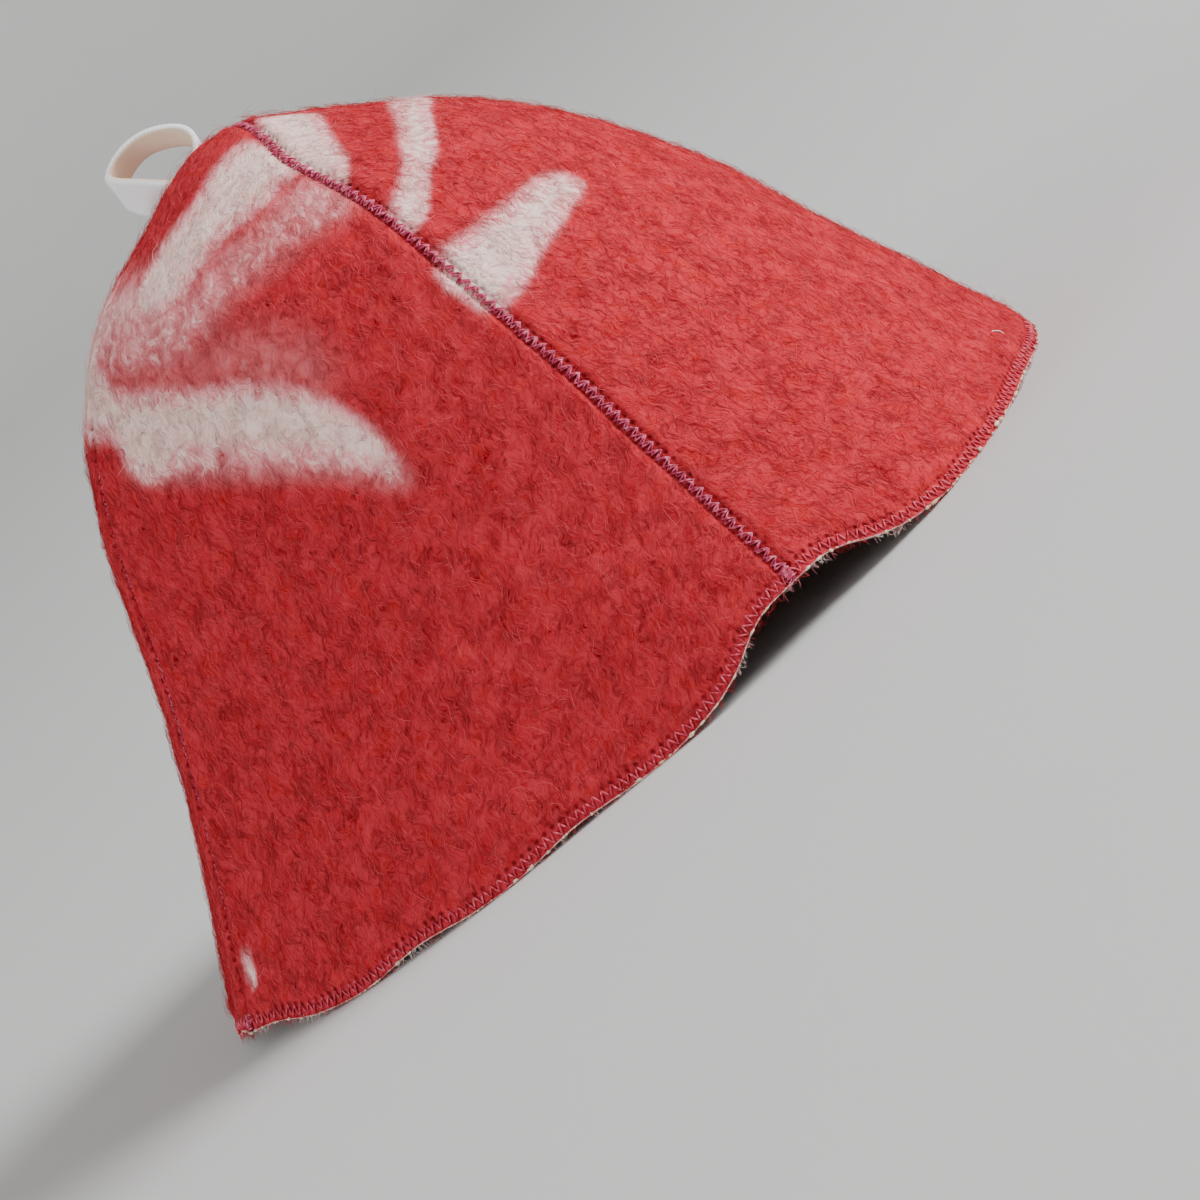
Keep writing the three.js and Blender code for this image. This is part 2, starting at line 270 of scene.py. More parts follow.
def petal_cover(gore, forward, right, points):
    """How much of the red each point's petals hide: half a petal's cover on its outline."""
    cover = np.zeros(forward.shape)
    for share, soft, corners in PETALS[GORES[gore]]:
        around, down = np.array(corners, float).T[:, :, None]
        around = np.radians(around)
        corners = np.hstack([np.cos(around), np.sin(around)]) * down / GORE_LENGTH
        outline = closed_spline(corners, OUTLINE_STEPS)
        line = np.hstack([outline, felt_point(*outline.T)])
        nearest, inside = np.full(cover.shape, np.inf), np.zeros(cover.shape, bool)
        for start, end in zip(line, np.roll(line, -1, axis=0)):
            run, rise, *along = end - start
            crosses = (start[1] > right) != (end[1] > right)
            inside ^= crosses & (forward < start[0] + (right - start[1]) * run / (rise or 1e-12))
            along, away = np.array(along), points - start[2:]
            t = np.clip((away @ along) / max(along @ along, 1e-9), 0, 1)
            nearest = np.minimum(nearest, np.linalg.norm(away - t[..., None] * along, axis=-1))
        signed = np.where(inside, nearest, -nearest)
        cover = np.maximum(cover, share * np.clip(0.5 + signed / (PETAL_FADE * soft), 0, 1))
    return cover


# ---- Trees of nodes ----
VECTORS = "FLOAT_VECTOR"


def maths(plain, vector=None, mirrored=False):
    """A method of Wire that adds a Math node, or a Vector Math node to a wire of vectors."""
    def method(self, *others):
        values = (*others, self) if mirrored else (self, *others)
        if vector and self.socket.type in ("VECTOR", "RGBA"):
            return self.tree.vector(vector, *values)
        return self.tree.node("ShaderNodeMath", {"operation": plain}, dict(enumerate(values)))

    return method


class Wire:
    """A socket of a node. Arithmetic on it adds nodes to its tree, and @ is a cross product."""

    def __init__(self, tree, socket):
        self.tree, self.socket = tree, socket

    __add__ = __radd__ = maths("ADD", "ADD")
    __sub__, __rsub__ = maths("SUBTRACT", "SUBTRACT"), maths("SUBTRACT", mirrored=True)
    __mul__ = __rmul__ = maths("MULTIPLY", "SCALE")
    __pow__, __matmul__ = maths("POWER"), maths("", "CROSS_PRODUCT")
    size, sine, modulo = maths("ABSOLUTE"), maths("SINE"), maths("MODULO")
    most, over = maths("MAXIMUM", "MAXIMUM"), maths("GREATER_THAN")

    def other(self, name):
        return Wire(self.tree, self.socket.node.outputs[name])

    def between(self, start, end):
        """0 below start, 1 above end, and smooth between."""
        return self.tree.node("ShaderNodeMapRange", {"interpolation_type": "SMOOTHSTEP"},
                              {"Value": self, "From Min": start, "From Max": end})


def spaced(names):
    """A socket's name can't have spaces as a keyword, so underscores stand for them."""
    return {name.replace("_", " "): value for name, value in names.items()}


class Tree:
    """A node tree that is written as expressions."""

    def __init__(self, tree):
        self.tree = tree

    def node(self, kind, settings=None, inputs=None, output=0):
        """Adds a node: its settings first, then the values or links of its sockets."""
        made = self.tree.nodes.new(kind)
        for name, value in (settings or {}).items():
            setattr(made, name, value)
        for name, value in (inputs or {}).items():
            if isinstance(value, Wire):
                self.tree.links.new(value.socket, made.inputs[name])
            else:
                made.inputs[name].default_value = value
        return Wire(self, made.outputs[output])

    def geometry(self, kind, settings=None, **inputs):
        return self.node("GeometryNode" + kind, settings, spaced(inputs))

    def named(self, title, kind="FLOAT"):
        return self.geometry("InputNamedAttribute", {"data_type": kind}, Name=title)

    def vector(self, operation, *values):
        keys = (0, "Scale") if operation == "SCALE" else (0, 1)
        return self.node("ShaderNodeVectorMath", {"operation": operation}, dict(zip(keys, values)))

    def unit(self, vector):
        return self.vector("NORMALIZE", vector)

    def mix(self, share, first, second):
        """From one colour to another."""
        settings = {"data_type": "RGBA", "clamp_factor": True}
        return self.node("ShaderNodeMix", settings, {0: share, 6: first, 7: second}, 2)

    def coated(self, base, *coats):
        """A colour with others over it, each with its share."""
        for share, colour in coats:
            base = self.mix(share, base, colour)
        return base

    def chance(self, low, high, seed):
        """A random value for each element: a number, or a vector if the limits are vectors."""
        kind, keys, output = (VECTORS, (0, 1), 0) if isinstance(low, tuple) else ("FLOAT", (2, 3), 1)
        inputs = {keys[0]: low, keys[1]: high, "Seed": seed}
        return self.node("FunctionNodeRandomValue", {"data_type": kind}, inputs, output)

    def noise(self, at, scale, detail=2.0, roughness=0.5, output=0):
        inputs = {"Vector": at, "Scale": scale, "Detail": detail, "Roughness": roughness}
        return self.node("ShaderNodeTexNoise", {}, inputs, output)

    def swirl(self, at, scale, detail):
        """A vector of noise, as much one way as the other."""
        return self.noise(at, scale, detail, output=1) - (0.5, 0.5, 0.5)

    def mapped(self, at, scale, turn=0.0, move=(0, 0, 0)):
        turned = (0, 0, math.radians(turn))
        inputs = {"Vector": at, "Scale": scale, "Rotation": turned, "Location": move}
        return self.node("ShaderNodeMapping", {}, inputs)

    def attribute(self, name):
        return self.node("ShaderNodeAttribute", {"attribute_name": name}, {}, "Fac")

    def place(self):
        return self.node("ShaderNodeTexCoord", output="Object")

    def flat(self, uv_map):
        return self.node("ShaderNodeUVMap", {"uv_map": uv_map})

    def bump(self, strength, distance, height):
        inputs = {"Strength": strength, "Distance": distance, "Height": height}
        return self.node("ShaderNodeBump", {}, inputs)


def linear(red, green, blue):
    """A colour as the eye reads it, 0 to 255, made linear."""
    channels = [c / 255 for c in (red, green, blue)]
    return tuple(c / 12.92 if c <= 0.04045 else ((c + 0.055) / 1.055) ** 2.4 for c in channels) + (1,)


class Paint(Tree):
    """The tree of a new material. Constant values are set on its Principled shader."""

    def __init__(self, name, **constants):
        self.material = bpy.data.materials.new(name)
        self.material.use_nodes = True
        super().__init__(self.material.node_tree)
        self.shader = self.tree.nodes["Principled BSDF"]
        for name, value in spaced(constants).items():
            self.shader.inputs[name].default_value = value

    def feed(self, **wires):
        """Links what varies over the surface, and gives the finished material."""
        for name, wire in spaced(wires).items():
            self.tree.links.new(wire.socket, self.shader.inputs[name])
        return self.material


# ---- Materials ----
STITCH_PITCH, HEM_PITCH = 3.0, 2.8
STITCH_WIDE, HEM_WIDE, HEM_INSET = 3.2, 3.0, 2.7
# The deepest red is painted shade in the crevices between tufts, and also the tone of the felt's darker
# clouds.
RED_CREVICE_SHADE_AND_CLOUDS, RED, RED_WARM = linear(104, 0, 6), linear(172, 14, 28), linear(204, 26, 20)
RED_DUSTY, RED_HAIR = linear(186, 34, 48), linear(210, 68, 78)
# The deepest ivory is painted shade in the crevices between tufts of the pale felt.
IVORY_CREVICE_SHADE, IVORY, IVORY_HAIR = linear(176, 104, 96), linear(244, 202, 193), linear(253, 240, 233)
IVORY_BLUSH, VEIL = linear(236, 156, 148), linear(238, 156, 162)
THREAD = linear(122, 14, 46), linear(178, 50, 86), linear(216, 106, 138)
HEM_THREAD = linear(152, 16, 40), linear(194, 46, 70), linear(222, 98, 116)
PALE_FIBRE = linear(226, 206, 200), linear(242, 230, 226), linear(250, 246, 244)
# The darkest red is painted shade, in the needle holes and in the sunk seam groove.
# The hem's pink is painted light, for the sunk band along the hem.
HOLE_AND_GROOVE_SHADE, HEM_BAND_LIGHTENING = linear(92, 2, 12), linear(208, 60, 76)


def hairs(tree, at, across, along, turn, seed):
    """Lines drawn out along a direction: 1 on a line, 0 between lines."""
    stretched = tree.mapped(at, (1 / across, 1 / along, 1), turn, (seed, seed * 2, 0))
    return 1 - (tree.noise(stretched, 1.0, 1.0) * 2 - 1).size() * 3.2


def needle_holes(phase, pitch, across):
    """Round holes at every half turn of the phase, `across` away from their row."""
    along = (phase.modulo(1.0) - 0.5) * pitch
    away = (along * along + across * across) ** 0.5
    return 1 - away.between(0.1, 1.0)


def felt_material():
    tree = Paint("brushed_felt", Roughness=0.95, Specular_IOR_Level=0.06, Sheen_Weight=0.06,
                 Sheen_Roughness=0.5, Sheen_Tint=linear(255, 110, 110))
    flat = tree.flat("felt")
    curled = flat + tree.swirl(flat, 150.0, 2.0) * 0.009
    fine = hairs(tree, curled, 0.0006, 0.005, 8, 1.7)
    fine = fine.most(hairs(tree, curled, 0.0006, 0.0045, -24, 5.1))
    crossing = hairs(tree, curled, 0.0007, 0.005, 52, 9.4)
    bold = hairs(tree, curled, 0.0014, 0.008, -6, 3.3).between(0.25, 0.8)
    hair = fine.most(crossing * 0.8).between(0.15, 0.9)
    tufts = tree.noise(tree.mapped(curled, (1, 0.6, 1)), 270.0, 2.0, 0.55)
    mottle = tree.noise(curled, 620.0, 3.0, 0.65)
    clouds = tree.noise(flat, 95.0)
    patches = tree.noise(tree.mapped(flat, (1, 1, 1), 0, (0.3, 0.1, 0)), 150.0)

    side = tree.attribute("side")
    inner = (side + (mottle - 0.5) * 0.25 + (tufts - 0.5) * 0.3).between(0.2, 0.32)
    level, root = tree.attribute("petal"), tree.attribute("petal_root")
    near = level.most(root).between(0.02, 0.3)
    streaks = hair * 0.25 + (tufts - 0.5) * 0.65 + (mottle - 0.5) * 0.5 - 0.1
    ivory = (level + streaks * near).between(0.3, 0.8)
    over = (root + (mottle - 0.5) * 0.3).between(0.35, 0.6)
    ivory = ivory + (over - ivory) * bold * near * 0.75
    pale = (inner - ivory).size()

    # Painted shade: the low places of the tuft noise are the crevices between tufts, painted darker on
    # the red and on the ivory.
    shaded_crevices = 1 - (tufts * 0.6 + mottle * 0.4 + clouds * 0.3).between(0.53, 0.68)
    dim = 1 - (clouds * 0.5 + patches * 0.5).between(0.4, 0.6)
    dusty = (clouds * 0.6 + patches * 0.4).between(0.4, 0.6)
    warm, blush = 1 - patches.between(0.34, 0.5), 1 - patches.between(0.38, 0.62)
    veil = level.most(root).between(0.02, 0.5) * (0.65 + (tufts - 0.5) * 2.2 + hair * 0.3)
    red = tree.coated(RED, (dusty * 0.75, RED_DUSTY), (warm * 0.6, RED_WARM),
                      ((shaded_crevices * 0.9).most(dim * 0.4), RED_CREVICE_SHADE_AND_CLOUDS),
                      (hair * 0.3 + bold * 0.25, RED_HAIR), (veil, VEIL))
    cream = tree.coated(IVORY, (blush * 0.7, IVORY_BLUSH), (shaded_crevices * 0.9, IVORY_CREVICE_SHADE),
                        (hair * 0.5, IVORY_HAIR))
    colour = tree.mix(pale, red, cream)

    from_seam, from_hem = tree.attribute("from_seam"), tree.attribute("from_hem")
    # Painted light: the sunk band along the hem is painted pinker and lighter, against its shade.
    lightened_hem_band = (1 - from_hem.between(3.4, 5.0)) * (1 - inner)
    colour = tree.mix(lightened_hem_band * (1 - shaded_crevices) * 0.6, colour, HEM_BAND_LIGHTENING)
    from_row, edging = from_hem - HEM_INSET, tree.attribute("edging")
    seam_hole = needle_holes(tree.attribute("stitch"), STITCH_PITCH, from_seam - STITCH_WIDE / 2 - 0.1)
    hem_hole = needle_holes(edging, HEM_PITCH, from_row - HEM_WIDE / 2 - 0.3)
    edge_hole = needle_holes(edging + 0.5, HEM_PITCH, from_row + HEM_WIDE / 2)
    # Painted shade: the needle holes, and below them the felt sunk in each seam's groove, are painted a
    # dark red.
    holes = seam_hole.most(hem_hole).most(edge_hole * 0.6) * (1 - inner)
    holes = holes * patches.between(0.3, 0.6)
    sunk = (1 - from_seam.between(0.2, 2.4)) * 0.65
    colour = tree.mix(sunk.most(holes * 0.8) * (1 - ivory * 0.75), colour, HOLE_AND_GROOVE_SHADE)
    relief = mottle * 0.35 + tufts * 0.55 + hair * 0.1 + bold * 0.08 - shaded_crevices * 0.25 - holes * 0.9
    return tree.feed(Base_Color=colour, Normal=tree.bump(0.7, 0.0013, relief))


def nap_material():
    tree = Paint("wool_fibres", Roughness=0.85, Specular_IOR_Level=0.1, Sheen_Weight=0.06,
                 Sheen_Roughness=0.5, Sheen_Tint=linear(255, 120, 120))
    shade, petal = tree.attribute("shade"), tree.attribute("petal")
    tuft = tree.noise(tree.place(), 210.0)
    ivory = (petal + (shade - 0.5) * 0.25).between(0.3, 0.9)
    red = tree.coated(linear(160, 14, 26), (shade.between(0.0, 0.8), linear(206, 52, 62)),
                      (shade.between(0.6, 1.0), linear(228, 98, 106)),
                      ((1 - tuft.between(0.4, 0.54)) * 0.55, linear(140, 4, 16)),
                      (petal.between(0.02, 0.5) * 0.85, VEIL))
    cream = tree.coated(linear(222, 172, 162), (shade, linear(253, 240, 234)),
                        ((1 - tuft.between(0.38, 0.5)) * 0.4, linear(206, 148, 138)))
    return tree.feed(Base_Color=tree.mix(ivory, red, cream))


def thread_material(name, deep, middle, light):
    tree = Paint(name, Roughness=0.45, Specular_IOR_Level=0.35)
    at = tree.place()
    tone = tree.noise(at, 900.0)
    colour = tree.coated(deep, (tone.between(0.3, 0.5), middle), (tone.between(0.5, 0.66), light))
    bump = tree.bump(0.5, 0.0001, tree.noise(at, 5200.0, 1.0))
    return tree.feed(Base_Color=colour, Normal=bump)


def crumb_material():
    tree = Paint("cream_wool", Roughness=0.95, Specular_IOR_Level=0.05)
    tone = tree.attribute("shade") * 0.6 + tree.noise(tree.place(), 3000.0) * 0.4
    return tree.feed(Base_Color=tree.mix(tone, linear(190, 158, 132), linear(244, 226, 204)))


def tape_material():
    """Twill: ribs that lie aslant across the tape."""
    tree = Paint("cotton_tape", Roughness=0.85, Specular_IOR_Level=0.2, Sheen_Weight=0.2,
                 Sheen_Roughness=0.5)
    flat = tree.flat("tape")
    lines = {"Vector": flat, "Scale": 420.0, "Distortion": 0.6, "Detail": 1.0}
    ribs = tree.node("ShaderNodeTexWave", {"bands_direction": "DIAGONAL"}, lines, "Fac")
    picks = tree.noise(tree.mapped(flat, (1, 3, 1)), 1500.0)
    inner_patches = tree.noise(flat, 140.0, 3.0)
    weave = ribs * 0.6 + picks * 0.4
    colour = tree.mix(weave.between(0.1, 0.9), linear(236, 236, 238), linear(250, 251, 254))
    # The tape's inner face is beige and darker, in patches.
    colour = tree.mix(tree.attribute("inner") * (0.6 + inner_patches * 0.3), colour, linear(222, 188, 154))
    return tree.feed(Base_Color=colour, Normal=tree.bump(0.3, 0.0002, weave))


def floor_material():
    tree = Paint("pale_floor", Roughness=0.9, Specular_IOR_Level=0.1)
    tone = tree.noise(tree.place(), 3.0)
    return tree.feed(Base_Color=tree.mix(tone, linear(206, 206, 205), linear(211, 211, 210)))


# ---- Meshes ----
def add_object(name, data):
    made = bpy.data.objects.new(name, data)
    bpy.context.scene.collection.objects.link(made)
    return made


def mesh_object(name, points, faces, looks=None, values=None, uv=None, edges=()):
    """A smooth mesh from points in millimetres, with values at its points and one UV map."""
    data = bpy.data.meshes.new(name)
    data.from_pydata((np.asarray(points) * MM).tolist(), edges, faces)
    for title, numbers in (values or {}).items():
        numbers = np.asarray(numbers, np.float32)
        kind, key = (VECTORS, "vector") if numbers.ndim == 2 else ("FLOAT", "value")
        data.attributes.new(title, kind, "POINT").data.foreach_set(key, numbers.ravel())
    if uv:
        title, places = uv
        corners = np.empty(len(data.loops), np.int32)
        data.loops.foreach_get("vertex_index", corners)
        layer = data.uv_layers.new(name=title)
        layer.data.foreach_set("uv", (np.asarray(places, np.float32) * MM)[corners].ravel())
    data.polygons.foreach_set("use_smooth", [True] * len(data.polygons))
    data.update()
    if looks:
        data.materials.append(looks)
    return add_object(name, data)


def finished(guide, name, tree, inputs):
    """Runs a Geometry Nodes tree on a guide object and keeps the result as a plain mesh."""
    modifier = guide.modifiers.new(name, "NODES")
    modifier.node_group = tree
    for item in tree.interface.items_tree:
        if item.name in inputs:
            number = int if item.socket_type == "NodeSocketInt" else float
            modifier[item.identifier] = number(inputs[item.name])
    evaluated = guide.evaluated_get(bpy.context.evaluated_depsgraph_get())
    data = bpy.data.meshes.new_from_object(evaluated)
    guide.modifiers.clear()
    data.name = name
    return add_object(name, data)


def geometry_tree(name, sizes, counts):
    """An empty Geometry Nodes tree with named inputs. Returns the Tree and its input wires."""
    group = bpy.data.node_groups.new(name, "GeometryNodeTree")
    add = group.interface.new_socket
    add("Geometry", in_out="INPUT", socket_type="NodeSocketGeometry")
    for kind, titles in (("Float", sizes), ("Int", counts)):
        for title in titles:
            add(title, in_out="INPUT", socket_type="NodeSocket" + kind)
    add("Geometry", in_out="OUTPUT", socket_type="NodeSocketGeometry")
    tree = Tree(group)
    source = group.nodes.new("NodeGroupInput")
    return tree, {socket.name: Wire(tree, socket) for socket in source.outputs if socket.name}


def tubes(tree, lines, sides, radius, scale):
    section = tree.geometry("CurvePrimitiveCircle", Resolution=sides, Radius=radius)
    return tree.geometry("CurveToMesh", Curve=lines, Profile_Curve=section, Scale=scale,
                         Fill_Caps=True)


def end_tree(tree, shape, looks):
    """Every tree ends in Realize Instances and Set Material."""
    shape = tree.geometry("RealizeInstances", Geometry=shape)
    shape = tree.geometry("SetMaterial", Geometry=shape, Material=looks)
    sink = tree.tree.nodes.new("NodeGroupOutput")
    tree.tree.links.new(shape.socket, sink.inputs[0])
    return tree.tree


# ---- Gores ----
ROW_COUNT = 100
COLUMN_COUNT = 70
NEAR_HEM = [0, 0.9, 1.4, 2, 2.8, 3.6, 4.2, 4.8, 5.5, 6.4, 7.6, 9.4]
NEAR_SEAM = [0, 0.5, 1.0, 1.6, 2.2, 2.9, 3.8, 5.2]
HEM_WIDTH = 215
GROOVE_DEPTH, GROOVE_STARTS, GROOVE_ENDS, GROOVE_INNER = 0.9, 1.5, 3.0, 0.5
BAND_DEPTH, BAND_STARTS, BAND_ENDS = 0.55, 4.0, 5.6
PUFF, PUFF_AT_SEAM, PUFF_AT_HEM, PUFF_WIDE = 0.35, 4.6, 7.2, 1.7
WOBBLES = [(16, 0.45), (6.5, 0.3)]
EDGE_ROUND, EDGE_PLAIN, EDGE_UNEVEN, SLOPE_LEAST = 0.6, 2, 7, 0.3
GORE_NARROWED, GORE_TIP = 0.15, 0.4
NAP_LIES = 3.5
STITCH_BEGINS, STITCH_ENDS = 3.0, 1.2
# How far the nap closes over each seam, and how much deeper the stitches lie for that.
NAP_CLOSES, NAP_SINKS = [0, 0, 1.1, 0], 0.85


def felt_wobble(points):
    """Small unevenness of the felt, outwards."""
    places = [[Vector(p / size) for p in points.reshape(-1, 3)] for size, _ in WOBBLES]
    values = sum(out * np.array([noise.noise(v) for v in at]) for at, (_, out) in zip(places, WOBBLES))
    return values.reshape(points.shape[:-1])


def gore_shares():
    from_hem = np.array(NEAR_HEM) / GORE_LENGTH
    upper = np.linspace(0, 1 - from_hem[-1], ROW_COUNT, endpoint=False)[1:]
    return np.concatenate([upper, (1 - from_hem)[::-1]])


def gore_columns():
    from_seam = np.array(NEAR_SEAM) / HEM_WIDTH
    middle = np.linspace(from_seam[-1], 1 - from_seam[-1], COLUMN_COUNT)[1:-1]
    return np.concatenate([from_seam, middle, (1 - from_seam)[::-1]])


def run_length(points):
    """How far each point of a line lies along it."""
    steps = np.linalg.norm(np.diff(points, axis=0), axis=-1)
    return np.concatenate([[0], np.cumsum(steps)])


def half_stitches(points, pitch):
    return max(2, round(run_length(points)[-1] / pitch * 2))


def thread_turns(points, pitch):
    """Turns of a zigzag at each point of the line it is sewn along."""
    run = run_length(points)
    return run / run[-1] * half_stitches(points, pitch) / 2


def seam_line(seam, steps=260):
    """The line on which a seam is sewn, from the crown to just above the hem."""
    around, cut = SEAMS[seam]
    share = np.linspace(STITCH_BEGINS, GORE_LENGTH - cut - STITCH_ENDS, steps) / GORE_LENGTH
    return (share, *felt_down(around, share))


def hem_line(inset, steps=220):
    """A line round the hem, set in from the edge, with its angles from the first seam."""
    turns, shares = [], []
    for gore in range(len(GORES)):
        start, end = gore_seams(gore)
        across = np.linspace(0, 1, steps, endpoint=gore == len(GORES) - 1)
        shares.append(1 - (hem_cut(gore, across) + inset) / GORE_LENGTH)
        turns.append(start + (end - start) * across)
    around = np.concatenate(turns)
    return (around, *felt_down(around, np.concatenate(shares)))


def stitch_phase(gore, share, across):
    """Turns of the seam's zigzag at each point; a needle hole is at every half turn."""
    phases = []
    for seam, shift in ((gore, 0.0), ((gore + 1) % len(SEAMS), 0.5)):
        shares, points, _ = seam_line(seam)
        phases.append(np.interp(share, shares, thread_turns(points, STITCH_PITCH)) + shift)
    return np.where(across < 0.5, phases[0], phases[1])


def edging_phase(around):
    angles, points, _ = hem_line(HEM_INSET)
    return np.interp(around, angles, thread_turns(points, HEM_PITCH))


def gore_grid(gore):
    """A gore's outer face as a grid of rows and columns: points, normals, UVs and values."""
    start, end = gore_seams(gore)
    across = gore_columns()
    around = start + (end - start) * across
    cut = hem_cut(gore, across)
    share = gore_shares()[:, None] * (1 - cut / GORE_LENGTH)
    point, normal = felt_down(around, share)
    for column, inner in ((0, 1), (-1, -2)):
        point[:, column] += GORE_NARROWED * unit(point[:, inner] - point[:, column])
    steps = np.linalg.norm(np.diff(point, axis=1), axis=-1)
    along = np.concatenate([np.zeros((len(share), 1)), np.cumsum(steps, axis=1)], axis=1)
    u, v = along - along[:, -1:] / 2, share * GORE_LENGTH
    turn = np.radians(around)
    cover = petal_cover(gore, share * np.cos(turn), share * np.sin(turn), point)
    below = [np.interp(depth + NAP_LIES, depth, petal) for depth, petal in zip(v.T, cover.T)]
    drift = np.gradient(u, axis=0) / np.gradient(u, axis=1)
    down = unit(np.gradient(point, axis=0) - np.gradient(point, axis=1) * drift[..., None])
    other_seam = along[:, -1:] - along + NAP_CLOSES[(gore + 1) % len(SEAMS)]
    return point, normal, np.stack([u, v], -1), dict(
        petal=cover, petal_root=np.stack(below, 1),
        from_seam=np.minimum(along + NAP_CLOSES[gore], other_seam),
        from_hem=(1 - gore_shares())[:, None] * (GORE_LENGTH - cut),
        stitch=stitch_phase(gore, share, across),
        edging=np.broadcast_to(edging_phase(around), share.shape),
        nap=-down,
    )


def gore_profile(point, normal, from_seam, from_hem):
    """Outer points, rim points and inner points of the wall, in that order down each column."""
    groove = 1 - smooth(from_seam, GROOVE_STARTS, GROOVE_ENDS)
    band = 1 - smooth(from_hem, BAND_STARTS, BAND_ENDS)
    puff = np.maximum(np.exp(-(((from_seam - PUFF_AT_SEAM) / PUFF_WIDE) ** 2)),
                      np.exp(-(((from_hem - PUFF_AT_HEM) / PUFF_WIDE) ** 2)))
    uneven = smooth(from_hem, EDGE_PLAIN, EDGE_UNEVEN)
    wobble = felt_wobble(point) * uneven
    out = wobble + PUFF * puff - np.maximum(GROOVE_DEPTH * groove, BAND_DEPTH * band)
    outer = point + normal * out[..., None]
    levels = unit(normal * (1, 1, 0))
    slopes = np.linalg.norm(normal[..., :2], axis=-1, keepdims=True)
    sideways = (1 - uneven)[..., None]
    through = normal * (1 - sideways) + levels / np.maximum(slopes, SLOPE_LEAST) * sideways
    inner = point - through * (FELT - wobble - GROOVE_INNER * groove)[..., None]
    level, lift = levels[-1], np.array([0, 0, EDGE_ROUND])
    rim_outer = point[-1] - level * BAND_DEPTH
    rim_inner = point[-1] - level * FELT / slopes[-1]
    outer[-1], inner[-1] = rim_outer + lift, rim_inner + lift
    rounding = level * EDGE_ROUND * 0.5
    return np.concatenate([outer, [rim_outer - rounding, rim_inner + rounding], inner[::-1]])


def wall_faces(rows, columns, tips):
    """Quads between neighbouring columns of a profile, closed along both sides and at the tips."""
    at = lambda row, column: tips + row * columns + column
    foot, last = rows - 1, columns - 1
    faces = []
    for c in range(last):
        faces += [(at(r, c), at(r, c + 1), at(r + 1, c + 1), at(r + 1, c)) for r in range(foot)]
        faces += [(0, at(0, c + 1), at(0, c)), (1, at(foot, c), at(foot, c + 1))]
    for r in range(rows // 2 - 1):
        faces += [(at(r, 0), at(r + 1, 0), at(foot - r - 1, 0), at(foot - r, 0)),
                  (at(foot - r, last), at(foot - r - 1, last), at(r + 1, last), at(r, last))]
    return faces + [(0, at(0, 0), at(foot, 0), 1), (1, at(foot, last), at(0, last), 0)]


def make_gore(gore, looks):
    point, normal, flat, values = gore_grid(gore)
    profile = gore_profile(point, normal, values["from_seam"], values["from_hem"])
    rows, columns = profile.shape[:2]
    tip, tip_normal = felt_down(sum(gore_seams(gore)) / 2, GORE_TIP / GORE_LENGTH)
    tips = [tip - tip_normal * GROOVE_DEPTH, tip - tip_normal * FELT]
    points = np.concatenate([tips, profile.reshape(-1, 3)])

    def spread(given):
        """The outer face's values, given to the tips, the rim and the inner face too."""
        all_rows = np.concatenate([given, given[-1:], given[-1:], given[::-1]])
        return np.concatenate([given[:1, 0], given[:1, 0], all_rows.reshape(-1, *given.shape[2:])])

    values = {name: spread(given) for name, given in values.items()}
    sides = np.repeat([0, 0.5, 0.9, 1], [rows // 2 - 1, 1, 1, rows // 2 - 1])
    values["side"] = np.concatenate([[0, 1], np.repeat(sides, columns)])
    faces = wall_faces(rows, columns, 2)
    return mesh_object(GORES[gore] + "_felt", points, faces, looks, values, ("felt", spread(flat)))


# ---- Nap: loose wool fibres that curl over the outer face ----
FIBRE_POINTS, ABOVE_FLOOR = 4, 0.3 * MM
FIBRE_SIZES = ["Per square metre", "Length", "Radius", "Rise", "Curl", "Comb", "Seam clear", "Hem clear"]
NAP = dict(zip(FIBRE_SIZES, (268000, 5.4 * MM, 0.062 * MM, 1.3 * MM, 0.3, 1, 1.9, 4.3)))
STRAYS = dict(zip(FIBRE_SIZES, (3200, 11 * MM, 0.03 * MM, 2.4 * MM, 0.35, 0.2, 3, 14)))
RIM_FIBRES = dict(zip(FIBRE_SIZES, (1900000, 2.2 * MM, 0.08 * MM, 0.5 * MM, 0.35, 0.9, 0, 0)))
# How closely the nap of each gore is combed.
COMBED = [0.25, 0.8, 0.7, 0.6]


